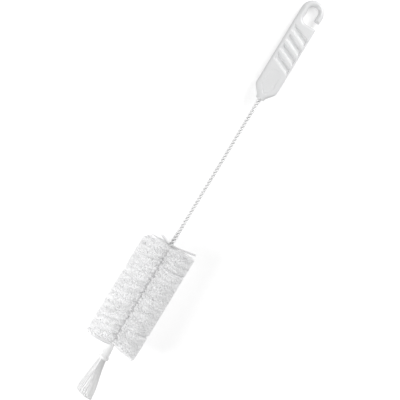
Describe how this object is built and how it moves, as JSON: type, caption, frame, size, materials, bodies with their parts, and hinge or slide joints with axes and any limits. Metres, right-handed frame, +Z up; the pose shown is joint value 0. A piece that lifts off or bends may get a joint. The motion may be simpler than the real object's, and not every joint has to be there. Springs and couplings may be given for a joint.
{
  "type": "bottle brush",
  "caption": "Twisted-wire bottle brush: round bristle head, end tuft in a ferrule, bare twisted stem and a flat moulded handle with finger grooves and a hanging hook.",
  "frame": {"origin": "middle of the resting brush in plan, on the surface that it lies on", "axes": "+X towards the handle and its hook, seen from above; +Y towards the hook's closed side; +Z up, out of the face of the handle that shows. The stem's line lies in the XZ plane and falls towards the handle"},
  "size_m": [0.4113, 0.0499, 0.0584],
  "materials": {
    "handle_plastic": "glossy white moulded plastic",
    "steel_wire": "drawn galvanised steel wire, light grey",
    "head_filament": "white nylon filament with a soft sheen",
    "ferrule_plastic": "glossy white moulded plastic",
    "tuft_filament": "white nylon filament with a soft sheen"
  },
  "bodies": {
    "root": {"handle": "handle_plastic", "wire": "steel_wire", "bristles": "head_filament", "ferrule": "ferrule_plastic", "tuft": "tuft_filament"}
  },
  "joints": []
}
